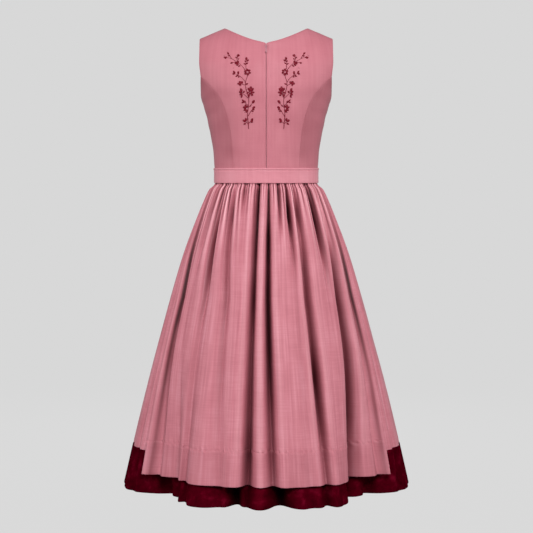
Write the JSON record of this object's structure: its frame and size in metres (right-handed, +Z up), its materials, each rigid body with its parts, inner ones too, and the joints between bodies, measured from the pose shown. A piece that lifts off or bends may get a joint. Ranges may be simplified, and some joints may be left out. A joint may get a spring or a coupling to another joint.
{
  "type": "dirndl",
  "caption": "Sleeveless bodice closed by a zip, joined at the waist to a gathered skirt with a velvet border, under an overskirt of gathered panels.",
  "frame": {"origin": "midway between the neck ends of the two shoulder seams, where the wearer's shoulders carry the garment", "axes": "+Z up to the shoulders, +Y out of the wearer's front, so the zip at the centre back faces -Y, and +X to the right as the back is seen"},
  "size_m": [0.7192, 0.6571, 1.1424],
  "materials": {
    "bodice": "dusty rose satin-faced cotton",
    "waistband": "dusty rose satin-faced cotton, edge-stitched",
    "skirt": "dusty rose satin-faced cotton",
    "overskirt": "dusty rose taffeta with a fine slub",
    "velvet": "burgundy velvet",
    "zip_tape": "woven polyester tape with a nylon coil",
    "zip_metal": "lacquered zinc, rose"
  },
  "bodies": {
    "garment": {"bodice_back_left": "bodice", "bodice_back_right": "bodice", "bodice_side_back_left": "bodice", "bodice_side_back_right": "bodice", "bodice_side_front_left": "bodice", "bodice_side_front_right": "bodice", "bodice_front": "bodice", "waistband": "waistband", "zip_tape": "zip_tape", "zip_slider": "zip_metal", "skirt_back": "skirt", "skirt_front": "skirt", "border_back": "velvet", "border_front": "velvet", "overskirt_back": "overskirt", "overskirt_front": "overskirt"},
    "pull_tab": {"zip_pull_tab": "zip_metal"}
  },
  "joints": [
    {"name": "pull_tab_hinge", "type": "hinge", "parent": "garment", "child": "pull_tab", "pos_m": [0, -0.08106, -0.04981], "axis": [-1, 0, 0], "range_deg": [0, 160]}
  ]
}
